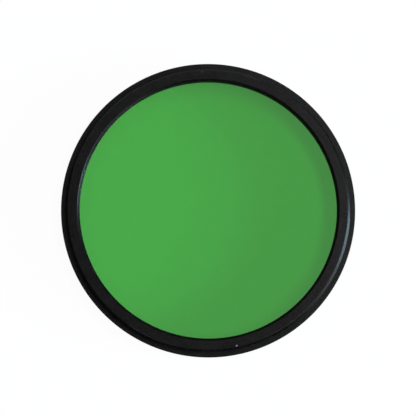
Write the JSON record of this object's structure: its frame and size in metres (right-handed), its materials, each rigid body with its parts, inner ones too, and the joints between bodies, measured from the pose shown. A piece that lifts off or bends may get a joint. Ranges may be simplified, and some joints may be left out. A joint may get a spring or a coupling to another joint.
{
  "type": "contrast filter",
  "caption": "Round screw-in contrast filter for a camera lens: a green glass disc held in a black, knurled ring with a lens thread at the rear and an accessory thread at the front.",
  "frame": {"origin": "centre of the front rim's flat edge, on which the filter lies", "axes": "+Z along the optical axis, from the front rim up to the rear thread; X and Y lie in the plane of the glass"},
  "size_m": [0.054, 0.054, 0.007],
  "materials": {
    "black_anodised_aluminium": "fine bead-blasted and black anodised, satin, over turning marks",
    "black_anodised_retainer": "turned and black anodised, semi-matt",
    "green_glass": "polished flat glass dyed green in the mass, with a ground edge"
  },
  "bodies": {
    "root": {"mount_ring": "black_anodised_aluminium", "filter_glass": "green_glass", "retaining_ring": "black_anodised_retainer"}
  },
  "joints": []
}
